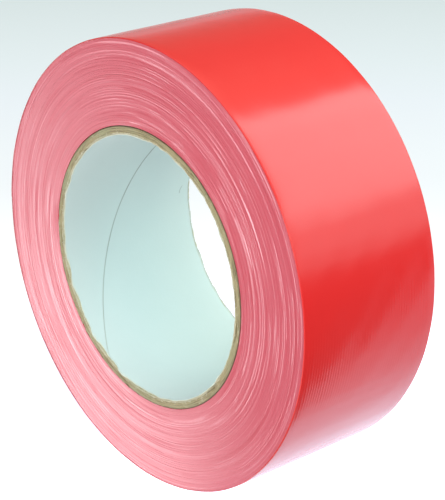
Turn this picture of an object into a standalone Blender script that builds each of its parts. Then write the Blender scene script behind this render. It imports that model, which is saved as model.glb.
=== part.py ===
"""A roll of duct tape standing on its tread: wound core, tape windings and a free tape end.

The roll's axis is Y and the floor is below it, at -Z.  The origin is the roll's centre.
Every curved face is made of the same flat facets, so the layers lie parallel on each
other, and one facet of the outermost layer faces straight down and is the roll's foot.
"""

import math

import bmesh
import bpy

# ---- driving dimensions, in metres ------------------------------------------------

ROLL_DIAMETER = 0.130          # over the outermost turn
TAPE_WIDTH = 0.048             # also the core's length
BORE_DIAMETER = 0.0762         # a three-inch core

LINER_THICKNESS = 0.00025      # white paper on the inside of the core
PLY_THICKNESS = 0.00045        # one spiral strip of grey core board
PLY_COUNT = 4
GLUE_GAP = 0.00005             # between two plies, and between the core and the tape
SEAM_GAP = 0.0003              # butt joint between the edges of one strip

FILM_THICKNESS = 0.00007       # red polyethylene backing
CLOTH_THICKNESS = 0.00003      # woven scrim
ADHESIVE_THICKNESS = 0.00005
LAYER_GAP = 0.00001            # between the layers of the tape, and under it

FACETS = 64                    # flat facets round the roll
SEAM_FACETS = 28               # facets that one strip's edge crosses from face to face
LINER_SEAM_FACET = 15          # where the liner's seam meets the far face
SEAM_STAGGER_FACETS = 13       # from one ply's seam to the next ply's

TIP_FACET = 31                 # the tape's cut edge, counted from +X towards +Z
END_SEGMENTS = 4               # the free end is a chain of this many stiff lengths
SEGMENT_FACETS = 2
HINGE_GAP = 0.0003             # between two lengths of the chain

# ---- values worked out from them --------------------------------------------------

HALF_WIDTH = TAPE_WIDTH / 2
FACET_ANGLE = 2 * math.pi / FACETS
# a vertex line lies half a facet from straight down, so that a facet faces the floor
FIRST_VERTEX_ANGLE = FACET_ANGLE / 2
TAPE_THICKNESS = (FILM_THICKNESS + CLOTH_THICKNESS + ADHESIVE_THICKNESS
                  + 3 * LAYER_GAP)
# the foot facet lies half-way round the last turn's rise of one tape thickness
FOOT_RADIUS = ROLL_DIAMETER / 2 / math.cos(FACET_ANGLE / 2)
FOOT_FACET = (FACETS * 3 // 4 - TIP_FACET - 0.5) % FACETS
LAST_TURN_RADIUS = (FOOT_RADIUS + LAYER_GAP
                    - TAPE_THICKNESS * (1 + FOOT_FACET / FACETS))
FACET_WIDTH = 2 * FOOT_RADIUS * math.sin(FACET_ANGLE / 2)
HINGE_FACET = FACETS - END_SEGMENTS * SEGMENT_FACETS

# ---- materials: base colour, roughness, metallic ----------------------------------

FINISHES = {
    "red_film": ((0.72, 0.022, 0.024, 1.0), 0.22, 0.0),
    "woven_cloth": ((0.82, 0.66, 0.64, 1.0), 0.85, 0.0),
    "soft_adhesive": ((0.80, 0.38, 0.42, 1.0), 0.55, 0.0),
    "tape_edges": ((0.80, 0.36, 0.40, 1.0), 0.60, 0.0),
    "core_board": ((0.39, 0.38, 0.25, 1.0), 0.90, 0.0),
    "liner_paper": ((0.62, 0.71, 0.70, 1.0), 0.75, 0.0),
}


def make_material(name):
    colour, roughness, metallic = FINISHES[name]
    material = bpy.data.materials.new(name)
    material.use_nodes = True
    shader = material.node_tree.nodes["Principled BSDF"]
    shader.inputs["Base Color"].default_value = colour
    shader.inputs["Roughness"].default_value = roughness
    shader.inputs["Metallic"].default_value = metallic
    material.diffuse_color = colour
    return material


# ---- faceted shells ----------------------------------------------------------------

def vertex_angle(line):
    """Angle of a whole-numbered vertex line, from +X towards +Z."""
    return FIRST_VERTEX_ANGLE + line * FACET_ANGLE


def on_facets(position, radius_at):
    """The (x, z) point at a position counted in facets, on the chord between two lines."""
    line = math.floor(position)
    share = position - line
    ends = []
    for corner in (line, line + 1):
        radius = radius_at(corner)
        angle = vertex_angle(corner)
        ends.append((radius * math.cos(angle), radius * math.sin(angle)))
    (x0, z0), (x1, z1) = ends
    return x0 + share * (x1 - x0), z0 + share * (z1 - z0)


def constant(radius):
    return lambda position: radius


def last_turn(offset):
    """Radius of a face of the last turn, which rises one tape thickness in a full turn."""
    def radius_at(position):
        turned = (position - TIP_FACET) / FACETS
        return LAST_TURN_RADIUS + offset + TAPE_THICKNESS * turned
    return radius_at


def finish_object(name, mesh_builder, material, origin=(0.0, 0.0, 0.0), parent=None):
    """Closes a bmesh into a named object whose origin is at the given point."""
    bmesh.ops.recalc_face_normals(mesh_builder, faces=mesh_builder.faces)
    for vertex in mesh_builder.verts:
        vertex.co.x -= origin[0]
        vertex.co.y -= origin[1]
        vertex.co.z -= origin[2]
    mesh = bpy.data.meshes.new(name)
    mesh_builder.to_mesh(mesh)
    mesh_builder.free()
    mesh.shade_smooth()
    mesh.set_sharp_from_angle(angle=math.radians(30))
    mesh.materials.append(material)
    piece = bpy.data.objects.new(name, mesh)
    bpy.context.scene.collection.objects.link(piece)
    if parent is None:
        piece.location = origin
    else:
        piece.parent = parent
        piece.location = [origin[axis] - parent_place(parent)[axis] for axis in range(3)]
    return piece


def parent_place(empty):
    """World place of an empty whose parents only move it, without turning it."""
    place = [0.0, 0.0, 0.0]
    while empty is not None:
        place = [place[axis] + empty.location[axis] for axis in range(3)]
        empty = empty.parent
    return place


def station(builder, position, inner_at, outer_at, low, high):
    """Corner points of a shell's cross-section: inner and outer, at its low and high Y."""
    corners = {}
    for side, radius_at in (("inner", inner_at), ("outer", outer_at)):
        x, z = on_facets(position, radius_at)
        corners[side, "low"] = builder.verts.new((x, low, z))
        if high - low > 1e-9:
            corners[side, "high"] = builder.verts.new((x, high, z))
        else:
            corners[side, "high"] = corners[side, "low"]
    return corners


def add_face(builder, *corners):
    """A face from corners that may repeat where the shell runs out to a point."""
    distinct = []
    for corner in corners:
        if corner not in distinct:
            distinct.append(corner)
    if len(distinct) > 2:
        builder.faces.new(distinct)


def strip_shell(stations, inner_at, outer_at):
    """A curved strip through (position, low Y, high Y) stations, closed at both ends."""
    builder = bmesh.new()
    rows = [station(builder, position, inner_at, outer_at, low, high)
            for position, low, high in stations]
    for row, after in zip(rows, rows[1:]):
        for side in ("inner", "outer"):
            add_face(builder, row[side, "low"], after[side, "low"],
                     after[side, "high"], row[side, "high"])
        for edge in ("low", "high"):
            add_face(builder, row["inner", edge], after["inner", edge],
                     after["outer", edge], row["outer", edge])
    for row in (rows[0], rows[-1]):
        add_face(builder, row["inner", "low"], row["outer", "low"],
                 row["outer", "high"], row["inner", "high"])
    return builder


def between(start, end):
    """Positions from start to end, with every vertex line on the way."""
    lines = range(math.floor(start) + 1, math.ceil(end))
    return [start, *lines, end]


# ---- the core: strips wound on a slant, each butting against its own edge ------------

def core_ply(name, inner_radius, thickness, far_seam_facet, material):
    """One spiral strip.  Its two edges follow the same slanted seam, one turn apart."""
    rise = TAPE_WIDTH / SEAM_FACETS
    slant = math.atan2(rise, inner_radius * FACET_ANGLE)
    # the seam's half gap, measured in facets along the seam's own facet count
    shift = SEAM_GAP / 2 / math.cos(slant) / rise
    last = FACETS + SEAM_FACETS
    steps = sorted([shift, SEAM_FACETS + shift, FACETS - shift, last - shift,
                    *range(1, last)])
    stations = []
    for step in steps:
        low = max(HALF_WIDTH - rise * (step - shift), -HALF_WIDTH)
        high = min(HALF_WIDTH - rise * (step + shift - FACETS), HALF_WIDTH)
        stations.append((far_seam_facet + step, low, high))
    builder = strip_shell(stations, constant(inner_radius),
                          constant(inner_radius + thickness))
    return finish_object(name, builder, material)


def build_core():
    """The white liner and the grey plies over it.  Returns the core's outer radius."""
    radius = BORE_DIAMETER / 2
    core_ply("core_liner", radius, LINER_THICKNESS, LINER_SEAM_FACET,
             make_material("liner_paper"))
    radius += LINER_THICKNESS + GLUE_GAP
    board = make_material("core_board")
    for number in range(1, PLY_COUNT + 1):
        seam = LINER_SEAM_FACET + number * SEAM_STAGGER_FACETS
        core_ply(f"core_ply_{number}", radius, PLY_THICKNESS, seam, board)
        radius += PLY_THICKNESS + GLUE_GAP
    return radius


# ---- the tape ------------------------------------------------------------------------

def build_windings(inner_radius):
    """All turns below the last one, with the step where the last turn leaves them."""
    builder = bmesh.new()
    outer_at = last_turn(-LAYER_GAP)
    inner = []
    outer = []
    for line in range(TIP_FACET, TIP_FACET + FACETS + 1):
        pair = []
        for y in (-HALF_WIDTH, HALF_WIDTH):
            x, z = on_facets(line, outer_at)
            pair.append(builder.verts.new((x, y, z)))
        outer.append(pair)
        if line < TIP_FACET + FACETS:
            x, z = on_facets(line, constant(inner_radius))
            inner.append([builder.verts.new((x, y, z)) for y in (-HALF_WIDTH, HALF_WIDTH)])
    for line in range(FACETS):
        after = (line + 1) % FACETS
        builder.faces.new((inner[line][0], inner[after][0], inner[after][1], inner[line][1]))
        builder.faces.new((outer[line][0], outer[line + 1][0],
                           outer[line + 1][1], outer[line][1]))
        for side in (0, 1):
            rim = [inner[line][side], inner[after][side], outer[line + 1][side],
                   outer[line][side]]
            if after == 0:
                # the step's own edge lies on this side face, between its two outer radii
                rim.insert(2, outer[0][side])
            builder.faces.new(rim)
    builder.faces.new((outer[0][0], outer[0][1], outer[-1][1], outer[-1][0]))
    return finish_object("tape_windings", builder, make_material("tape_edges"))


def tape_layers():
    """Name, lower face, upper face and material of each layer, from the inside out."""
    adhesive = make_material("soft_adhesive")
    cloth = make_material("woven_cloth")
    film = make_material("red_film")
    height = 0.0
    layers = []
    for name, thickness, material in (("adhesive", ADHESIVE_THICKNESS, adhesive),
                                      ("cloth", CLOTH_THICKNESS, cloth),
                                      ("film", FILM_THICKNESS, film)):
        layers.append((name, height, height + thickness, material))
        height += thickness + LAYER_GAP
    return layers


def build_length(label, start, end, layers, origin=(0.0, 0.0, 0.0), parent=None):
    """Every layer of one length of the last turn, from start to end in facets."""
    stations = [(position, -HALF_WIDTH, HALF_WIDTH) for position in between(start, end)]
    for name, low, high, material in layers:
        builder = strip_shell(stations, last_turn(low), last_turn(high))
        finish_object(label.format(name), builder, material, origin, parent)


def hinge_place(facet):
    """Centre of the tape's thickness on a vertex line of the last turn."""
    middle = (TAPE_THICKNESS - LAYER_GAP) / 2
    x, z = on_facets(TIP_FACET + facet, last_turn(middle))
    return (x, 0.0, z)


def build_last_turn():
    """The stuck part of the last turn, then the free end as a chain of hinged lengths."""
    layers = tape_layers()
    clearance = HINGE_GAP / FACET_WIDTH
    build_length("outer_turn_{}", TIP_FACET + clearance,
                 TIP_FACET + HINGE_FACET - clearance / 2, layers)
    carrier = None
    for number in range(1, END_SEGMENTS + 1):
        facet = HINGE_FACET + (number - 1) * SEGMENT_FACETS
        place = hinge_place(facet)
        hinge = bpy.data.objects.new(f"hinge_{number}", None)
        bpy.context.scene.collection.objects.link(hinge)
        hinge.empty_display_size = TAPE_WIDTH / 4
        if carrier is not None:
            before = parent_place(carrier)
            hinge.parent = carrier
            hinge.location = [place[axis] - before[axis] for axis in range(3)]
        else:
            hinge.location = place
        tail = clearance / 2 if number < END_SEGMENTS else 0.0
        build_length(f"tape_end_{{}}_{number}", TIP_FACET + facet + clearance / 2,
                     TIP_FACET + facet + SEGMENT_FACETS - tail, layers, place, hinge)
        carrier = hinge


def clear_scene():
    for item in list(bpy.data.objects):
        bpy.data.objects.remove(item, do_unlink=True)


def main():
    clear_scene()
    core_radius = build_core()
    build_windings(core_radius)
    build_last_turn()


main()
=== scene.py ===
"""A roll of glossy cloth-backed tape on a board core, standing on a pale floor.

The roll is built from its own parts: a paper liner and four board plies wound on a slant, one
long tape wound in a spiral, and the last turn of tape with its free end laid in four lengths.
Lengths are in metres. The roll's axis is Y, and angles are measured from +X towards +Z.
"""

import math

import bmesh
import bpy
import numpy as np
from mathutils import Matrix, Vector


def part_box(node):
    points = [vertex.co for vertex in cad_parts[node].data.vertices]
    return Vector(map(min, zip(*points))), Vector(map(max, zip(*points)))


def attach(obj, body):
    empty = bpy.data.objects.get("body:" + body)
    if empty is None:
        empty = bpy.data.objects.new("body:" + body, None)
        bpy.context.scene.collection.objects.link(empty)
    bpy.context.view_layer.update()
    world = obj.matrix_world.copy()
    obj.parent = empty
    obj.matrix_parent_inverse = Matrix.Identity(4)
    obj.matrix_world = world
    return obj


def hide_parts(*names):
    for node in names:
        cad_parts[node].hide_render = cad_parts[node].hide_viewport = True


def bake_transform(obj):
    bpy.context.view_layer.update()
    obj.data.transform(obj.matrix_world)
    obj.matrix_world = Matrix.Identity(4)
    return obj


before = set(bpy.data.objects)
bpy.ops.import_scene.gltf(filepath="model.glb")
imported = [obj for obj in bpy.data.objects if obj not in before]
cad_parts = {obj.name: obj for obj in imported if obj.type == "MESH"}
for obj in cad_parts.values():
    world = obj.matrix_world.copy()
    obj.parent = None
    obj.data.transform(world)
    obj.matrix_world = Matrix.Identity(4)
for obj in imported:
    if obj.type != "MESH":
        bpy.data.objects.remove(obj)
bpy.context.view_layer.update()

bl_info = {
    "name": "Cloth Tape Roll",
    "version": (1, 0, 0),
    "blender": (4, 5, 0),
    "location": "3D View > Sidebar > Tape Roll",
    "description": "Builds a roll of cloth-backed tape with a free end that peels up",
    "category": "Add Mesh",
}

MM = 0.001
NOTCH_ANGLE = math.radians(-40.5)
# nicks in the core's near end: ply, angle, half width and depth
NICKS = ((0, NOTCH_ANGLE, 0.028, 0.0016), (1, math.radians(-41.5), 0.020, 0.0010),
         (3, math.radians(-136.8), 0.012, 0.0015), (2, math.radians(58.0), 0.015, 0.0008),
         (0, math.radians(49.0), 0.030, 0.0007), (1, math.radians(-8.0), 0.050, 0.0006))
PLY_NODES = ("core_ply_1", "core_ply_2", "core_ply_3", "core_ply_4")
FREE_LENGTHS = 4

# the free end: where its tip lies on the roll, and the step from one hinge to the next
TIP_ANGLE = math.radians(177.1875)
HINGE_STEP = math.radians(11.25)
FULL_TURN = 2 * math.pi

PLY_GAP = 0.00001       # half of the gap between two board plies
CLOTH_GAP = 0.000004    # below the film, down to the cloth
CLOTH_INSET = 0.000012  # what the cloth stays short of the turn below
THREAD_HEIGHT = 0.00001
TOOTH_PITCH = 0.0011    # of the bar that the tape's tip was torn off on
TEAR_DEPTH = 0.00022

# painted falloff: the floor's glow colour, from beside the roll to this far behind it
FLOOR_DEPTH = 1.2
FLOOR_STOPS = (
    (0.06, (0.87, 0.84, 1.0, 1.0)), (0.125, (0.96, 0.98, 1.0, 1.0)),
    (0.217, (0.913, 0.965, 0.991, 1.0)),
    (0.292, (0.845, 0.912, 0.955, 1.0)), (0.350, (0.783, 0.871, 0.888, 1.0)),
    (0.452, (0.686, 0.783, 0.783, 1.0)), (1.0, (0.58, 0.66, 0.66, 1.0)),
)

WINDINGS_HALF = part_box("tape_windings")[1].y
FLOOR_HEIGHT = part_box("outer_turn_film")[0].z


# ---------------------------------------------------------------- settings

def length_setting(name, description, default, precision=4):
    """A setting in metres."""
    return bpy.props.FloatProperty(name=name, description=description, default=default,
                                   subtype='DISTANCE', unit='LENGTH', precision=precision)


def angle_setting(name, description, degrees):
    """A setting that is given here in degrees and kept in radians."""
    return bpy.props.FloatProperty(name=name, description=description,
                                   default=math.radians(degrees), subtype='ANGLE',
                                   unit='ROTATION')


def colour_setting(name, description, *linear):
    """An opaque colour, as linear red, green and blue."""
    return bpy.props.FloatVectorProperty(name=name, description=description, subtype='COLOR',
                                         size=4, default=linear + (1.0,), min=0.0, max=1.0)


class RollSizes(bpy.types.PropertyGroup):
    """Sizes of the roll and its layers."""
    half_width: length_setting("Half Width", "Half of the tape's width", WINDINGS_HALF)
    foot_radius: length_setting("Radius at the Foot", "Axis to tread where the roll stands",
                                -FLOOR_HEIGHT)
    bore_radius: length_setting("Bore Radius", "Inside radius of the paper liner", 0.0381)
    liner_thickness: length_setting("Liner Thickness",
                                    "Thickness of the paper inside the core", 0.00025, 5)
    core_radius: length_setting("Core Radius", "Outside radius of the board core", 0.04055, 5)
    tape_thickness: length_setting("Tape Thickness", "One turn of tape, from film to film",
                                   0.00018, 5)
    film_thickness: length_setting("Film Thickness", "The tape's outer film", 0.00007, 5)
    edge_rounding: length_setting("Edge Rounding",
                                  "How far the tape's edges bend down at the rim", 0.00035, 5)
    shoulder_width: length_setting("Shoulder Width",
                                   "Strip beside each edge where the tread falls off", 0.0032)
    shoulder_drop: length_setting("Shoulder Drop", "How far the tread falls off at its edges",
                                  0.00011, 5)
    turns: bpy.props.IntProperty(
        name="Turns", description="Turns of tape below the last one", default=136, min=4)
    thread_pitch: length_setting("Thread Pitch", "Spacing of the cloth's lengthwise threads",
                                 0.00094, 5)
    seam_lead: angle_setting("Seam Lead", "Turn of the liner's seam across half the width",
                             78.75)
    seam_angle: angle_setting("Seam Angle", "Where the liner's seam crosses the middle", 164.5)


class RollColours(bpy.types.PropertyGroup):
    """Colours of the roll's materials, as linear values."""
    film: colour_setting("Film", "Glossy outer film", 0.765, 0.0150, 0.0045)
    edges: colour_setting("Wound Edges", "Cut edges of the wound tape", 0.665, 0.104, 0.140)
    # painted light and shade: proud turns get a lit colour, sunk turns a shaded one
    edges_proud_lit: colour_setting("Proud Edges", "Turns that stand out of the side face",
                                0.88, 0.33, 0.37)
    edges_sunk_shaded: colour_setting("Sunk Edges", "Turns that lie deeper in the side face",
                               0.57, 0.045, 0.068)
    cloth: colour_setting("Cloth", "Woven threads under the film", 0.86, 0.70, 0.68)
    adhesive: colour_setting("Adhesive", "Soft adhesive between the threads", 0.72, 0.36, 0.36)
    board: colour_setting("Board", "Grey-brown board of the core", 0.47, 0.385, 0.215)
    board_pale: colour_setting("Torn Board", "Torn fibres of the board", 0.72, 0.66, 0.48)
    liner: colour_setting("Liner", "Pale paper inside the core", 0.665, 0.755, 0.745)


class StageSettings(bpy.types.PropertyGroup):
    """Camera, floor and lights."""
    camera_place: bpy.props.FloatVectorProperty(
        name="Camera", description="Where the camera stands", subtype='TRANSLATION',
        size=3, default=(0.34958, -0.29587, 0.18728), unit='LENGTH')
    camera_target: bpy.props.FloatVectorProperty(
        name="Camera Target", description="Point that the camera looks at",
        subtype='TRANSLATION', size=3, default=(0.005845, -0.000302, 0.001325), unit='LENGTH')
    lens: bpy.props.FloatProperty(
        name="Focal Length", description="Focal length in millimetres on a 36 mm sensor",
        default=124.54, min=10.0)
    floor_colour: colour_setting("Floor", "Pale floor", 0.13, 0.135, 0.14)
    floor_glow: bpy.props.FloatProperty(
        name="Floor Glow", description="Light that the floor gives off itself", default=0.81)
    table_sheen: bpy.props.FloatProperty(
        name="Table Sheen", description="Bright table left of the roll, as the side face "
        "mirrors it", default=6.6)
    softbox: bpy.props.FloatProperty(
        name="Softbox", description="Brightness of the panel behind the roll", default=4.7)
    key: bpy.props.FloatProperty(
        name="Key", description="Power of the light over the tread, in watts", default=1.5)
    fill: bpy.props.FloatProperty(
        name="Fill", description="Power of the light in front of the side face, in watts",
        default=0.24)
    room: bpy.props.FloatProperty(
        name="Room", description="Brightness of the room above the floor", default=0.75)


# ---------------------------------------------------------------- node helpers

class Wire:
    """One output of a node. Arithmetic on it adds the Math nodes that work it out."""

    def __init__(self, tree, output):
        self.tree = tree
        self.output = output

    def _maths(self, operation, first, second=0.0):
        return self.tree.add('ShaderNodeMath', {'operation': operation},
                             {0: first, 1: second})

    def __add__(self, other):
        return self._maths('ADD', self, other)

    def __radd__(self, other):
        return self._maths('ADD', other, self)

    def __sub__(self, other):
        return self._maths('SUBTRACT', self, other)

    def __rsub__(self, other):
        return self._maths('SUBTRACT', other, self)

    def __mul__(self, other):
        return self._maths('MULTIPLY', self, other)

    def __rmul__(self, other):
        return self._maths('MULTIPLY', other, self)

    def __truediv__(self, other):
        return self._maths('DIVIDE', self, other)

    def maths(self, operation, second=0.0):
        """Any other Math operation, with this value as the first."""
        return self._maths(operation, self, second)

    def smooth(self, low, high):
        """0 below low, 1 above high, with a smooth step between them."""
        settings = {'interpolation_type': 'SMOOTHSTEP'}
        return self.tree.add('ShaderNodeMapRange', settings,
                             {'Value': self, 'From Min': low, 'From Max': high})


class Tree:
    """A node tree that is built one node at a time."""

    def __init__(self, node_tree):
        self.nodes = node_tree.nodes
        self.links = node_tree.links

    def add(self, kind, settings=None, inputs=None, output=0):
        """Adds a node: its settings first, then the values or wires of its inputs."""
        node = self.nodes.new(kind)
        for name, value in (settings or {}).items():
            if name == 'stops':
                self._set_stops(node.color_ramp, value)
            else:
                setattr(node, name, value)
        for name, value in (inputs or {}).items():
            if isinstance(value, Wire):
                self.links.new(value.output, node.inputs[name])
            else:
                node.inputs[name].default_value = value
        return Wire(self, node.outputs[output]) if node.outputs else node

    @staticmethod
    def _set_stops(ramp, stops):
        while len(ramp.elements) < len(stops):
            ramp.elements.new(0.5)
        for element, (position, colour) in zip(ramp.elements, stops):
            element.position = position
            element.color = colour

    def noise(self, vector, scale, detail=2.0, roughness=0.5, output=0):
        """Noise on a vector, from 0 to 1."""
        return self.add('ShaderNodeTexNoise', None,
                        {'Vector': vector, 'Scale': scale, 'Detail': detail,
                         'Roughness': roughness}, output)

    def blend(self, factor, first, second):
        """A mix of two colours."""
        return self.add('ShaderNodeMix', {'data_type': 'RGBA'},
                        {0: factor, 6: first, 7: second}, 2)

    def xyz(self, x=0.0, y=0.0, z=0.0):
        """A vector from three values."""
        return self.add('ShaderNodeCombineXYZ', None, {0: x, 1: y, 2: z})

    def split(self, vector):
        """The three parts of a vector."""
        first = self.add('ShaderNodeSeparateXYZ', None, {0: vector})
        return [Wire(self, output) for output in first.output.node.outputs]


def new_material(name):
    """An empty material and its tree."""
    material = bpy.data.materials.new(name)
    material.use_nodes = True
    material.node_tree.nodes.clear()
    return material, Tree(material.node_tree)


def finish_material(tree, colour, roughness, height=None, bump_distance=0.0001,
                    bump_strength=1.0, **constants):
    """Ends a material: varying colour, roughness and bump, and constants on the shader."""
    inputs = {'Base Color': colour, 'Roughness': roughness}
    for name, value in constants.items():
        inputs[name.replace('_', ' ')] = value
    if height is not None:
        inputs['Normal'] = tree.add('ShaderNodeBump', None,
                                    {'Strength': bump_strength, 'Distance': bump_distance,
                                     'Height': height})
    shader = tree.add('ShaderNodeBsdfPrincipled', None, inputs)
    tree.add('ShaderNodeOutputMaterial', None, {'Surface': shader})


def object_parts(tree):
    """Object coordinates in metres as a vector, and its three parts."""
    place = tree.add('ShaderNodeTexCoord', None, None, 3)
    return place, tree.split(place)


def ring_parts(x, z):
    """Distance from the roll's axis, and the two parts of the direction away from it."""
    distance = (x * x + z * z).maths('SQRT')
    return distance, x / distance, z / distance


# ---------------------------------------------------------------- materials

def film_material(colours, sizes):
    """Glossy film with the cloth's threads showing as low ridges, painted lit and shaded."""
    material, tree = new_material("red_film")
    tape = tree.add('ShaderNodeUVMap', {'uv_map': "tape"}, None)
    along, across, _ = tree.split(tape)
    # the finest of the creases that run across the tape, over those that the film itself has
    weft = tree.noise(tree.xyz(along * 1.1, across * 0.07), 1.0, 2.0)
    warp = (across * (0.001 / sizes.thread_pitch) * FULL_TURN).maths('COSINE')
    patchy = tree.noise(tree.xyz(along * 0.09, across * 0.16), 1.0, 2.0).smooth(0.25, 0.65)
    specks = tree.noise(tree.xyz(along, across * 0.8), 1.2, 2.0).smooth(0.60, 0.74)
    tone = tree.noise(tree.xyz(along * 0.05, across * 0.8), 1.0, 3.0)
    deep = [c * 0.80 for c in colours.film[:3]] + [1.0]
    # painted shade: the warp term draws the film darker between the threads and lighter on them
    shade = 0.45 + tone * 0.5 + warp * 0.12 + (weft - 0.5) * 0.30
    colour = tree.blend(shade, deep, tuple(colours.film))
    # painted highlights: below the roll's middle the film is drawn paler on the thread ridges
    height_on_roll = (along * (MM / sizes.foot_radius)).maths('SINE')
    lower_tread = 1.0 - height_on_roll.smooth(-0.10, 0.25)
    thread_highlights = warp.smooth(0.0, 1.0) * patchy * lower_tread
    colour = tree.blend(thread_highlights, colour, (0.92, 0.150, 0.145, 1.0))
    ridges = warp * (1.0 - 0.9 * height_on_roll.smooth(0.0, 0.7))
    roughness = 0.05 + 0.03 * tone
    finish_material(tree, colour, roughness, weft * 0.35 + specks + ridges * 0.25, 0.000008, 1.0,
                    IOR=1.5)
    return material


def edges_material(colours):
    """Cut edges of the wound tape: pink, painted lit on proud turns and shaded on sunk ones."""
    material, tree = new_material("tape_edges")
    _, (x, _, z) = object_parts(tree)
    distance, cosine, sine = ring_parts(x, z)
    # the "tone" attribute holds random streaks plus painted light: lighter proud turns, darker
    # sunk ones
    tone = tree.add('ShaderNodeAttribute', {'attribute_name': "tone"}, None, 2)

    jitter = tree.noise(tree.xyz(distance * 400.0, cosine * 7.0, sine * 7.0), 1.0, 2.0) - 0.5
    track = distance + jitter * 0.00015

    def thin_lines(pace, shift, sharpness):
        """Fine lines that run round the roll where a noise passes through its middle."""
        field = tree.noise(tree.xyz(track * pace + shift, cosine * 0.35, sine * 0.35), 1.0, 0.0)
        return (1.0 - (field - 0.5).maths('ABSOLUTE') * sharpness).maths('MAXIMUM', 0.0)

    def patches(pace, spread, shift):
        """Long patches in which the lines of one kind show."""
        return tree.noise(tree.xyz(distance * pace + shift, cosine * spread,
                                   sine * spread), 1.0, 1.0)

    grain = tree.noise(tree.xyz(track * 9000.0, cosine * 30.0, sine * 30.0), 1.0, 2.0, 0.6)
    # painted light: bright and faint lines are painted highlights, dark lines painted shade
    # between turns
    bright = thin_lines(700.0, 20.0, 11.0) * patches(250.0, 1.6, 3.0).smooth(0.42, 0.60)
    faint = thin_lines(2100.0, 55.0, 7.0) * patches(500.0, 2.5, 9.0).smooth(0.30, 0.70)
    dark = thin_lines(1500.0, 91.0, 8.0) * patches(400.0, 2.2, 17.0).smooth(0.35, 0.65)
    inner = 1.0 - distance.smooth(0.0404, 0.0440)
    level = (tone + bright * 0.30 + faint * 0.15 - dark * 0.26 + (grain - 0.5) * 0.40
             - inner * 0.12)
    # painted light and shade: low levels blend to the shaded colour, high ones to the lit one
    deep = tree.blend(level.smooth(0.0, 0.55), tuple(colours.edges_sunk_shaded),
                      tuple(colours.edges))
    colour = tree.blend(level.smooth(0.50, 1.15), deep, tuple(colours.edges_proud_lit))
    height = grain * 0.6 + bright + faint * 0.5 - dark
    finish_material(tree, colour, 0.26 + 0.12 * grain, height, 0.00001, 0.8, IOR=1.5)
    return material


def cloth_material(colours):
    """Underside of the tape: a loose weave set in soft adhesive."""
    material, tree = new_material("cloth_and_adhesive")
    tape = tree.add('ShaderNodeUVMap', {'uv_map': "tape"}, None)
    along, across, _ = tree.split(tape)
    wobble = tree.noise(tree.xyz(along, across), 0.4, 2.0) - 0.5
    warp = ((across / 0.94 + wobble * 0.3) * FULL_TURN).maths('COSINE').smooth(0.25, 0.85)
    weft = ((along / 1.9 + wobble * 0.3) * FULL_TURN).maths('COSINE').smooth(0.72, 0.96)
    threads = warp.maths('MAXIMUM', weft)
    stain = tree.noise(tree.xyz(along, across), 0.25, 3.0)
    adhesive = tree.blend(stain, tuple(c * 0.88 for c in colours.adhesive[:3]) + (1.0,),
                          tuple(colours.adhesive))
    colour = tree.blend(threads * 0.85, adhesive, tuple(colours.cloth))
    roughness = 0.34 + threads * 0.3
    finish_material(tree, colour, roughness, threads + stain * 0.4, 0.00005, 0.8, IOR=1.48)
    return material


def board_material(colours):
    """Laminated board with torn fibres on its cut ends."""
    material, tree = new_material("core_board")
    place, (x, _, z) = object_parts(tree)
    distance, cosine, sine = ring_parts(x, z)
    plies = tree.noise(tree.xyz(distance * 3600.0, cosine * 5.0, sine * 5.0), 1.0, 3.0, 0.6)
    fibres = tree.noise(tree.xyz(distance * 5200.0, cosine * 42.0, sine * 42.0), 1.0, 3.0, 0.6)
    blots = tree.noise(place, 260.0, 3.0)
    inside = 1.0 - distance.smooth(0.03840, 0.03900)
    # painted shadow: the board's outer edge is drawn dark brown, for the shade in the gap to the
    # tape
    outside = distance.smooth(0.04018, 0.04046)
    torn = (fibres * 0.6 + blots * 0.5 + inside * 0.24 - outside * 0.3).smooth(0.58, 0.80)
    dark = [c * 0.52 for c in colours.board[:3]] + [1.0]
    colour = tree.blend(plies.smooth(0.32, 0.56), dark, tuple(colours.board))
    colour = tree.blend(torn * 0.7, colour, tuple(colours.board_pale))
    green = (0.41, 0.42, 0.25, 1.0)
    colour = tree.blend(tree.noise(place, 90.0, 2.0).smooth(0.45, 0.7) * 0.5, colour, green)
    # painted shadow at the board's outer edge
    colour = tree.blend(outside * 0.85, colour, (0.17, 0.125, 0.065, 1.0))
    finish_material(tree, colour, 0.85 + 0.1 * fibres, fibres + plies * 0.7, 0.00025, 0.9)
    return material


def liner_material(colours, sizes):
    """Smooth pale paper, faintly blotched, yellowish at torn ends, darker at its seam and far end.
    """
    material, tree = new_material("liner_paper")
    place, (x, y, z) = object_parts(tree)
    cloud = tree.noise(place, 38.0, 3.0)
    grain = tree.noise(place, 1500.0, 2.0)
    warm = tree.blend(cloud.smooth(0.3, 0.7), tuple(colours.liner), (0.695, 0.780, 0.768, 1.0))
    edge = tree.add('ShaderNodeAttribute', {'attribute_name': "torn"}, None, 2)
    colour = tree.blend(edge, warm, (0.78, 0.77, 0.62, 1.0))
    seam = tree.add('ShaderNodeAttribute', {'attribute_name': "seam"}, None, 2)
    colour = tree.blend(seam * 0.75, colour, (0.20, 0.22, 0.19, 1.0))
    # a small crease near the far end, a few millimetres long, drawn darker as painted shade
    round_it = z.maths('ARCTAN2', -1.0 * x) * (sizes.bore_radius / MM)
    bend = round_it - 1.5
    away = (y / MM - 19.93 - 0.27 * bend * bend).maths('ABSOLUTE')
    crease = ((1.0 - away.smooth(0.05, 0.28)) * round_it.smooth(1.0, 1.5)
              * (1.0 - round_it.smooth(3.2, 3.8)))
    colour = tree.blend(crease * 0.45, colour, (0.24, 0.27, 0.25, 1.0))
    finish_material(tree, colour, 0.62 + 0.1 * grain, grain + cloud * 2.0 - crease, 0.00004, 0.5,
                    IOR=1.45)
    return material


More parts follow.
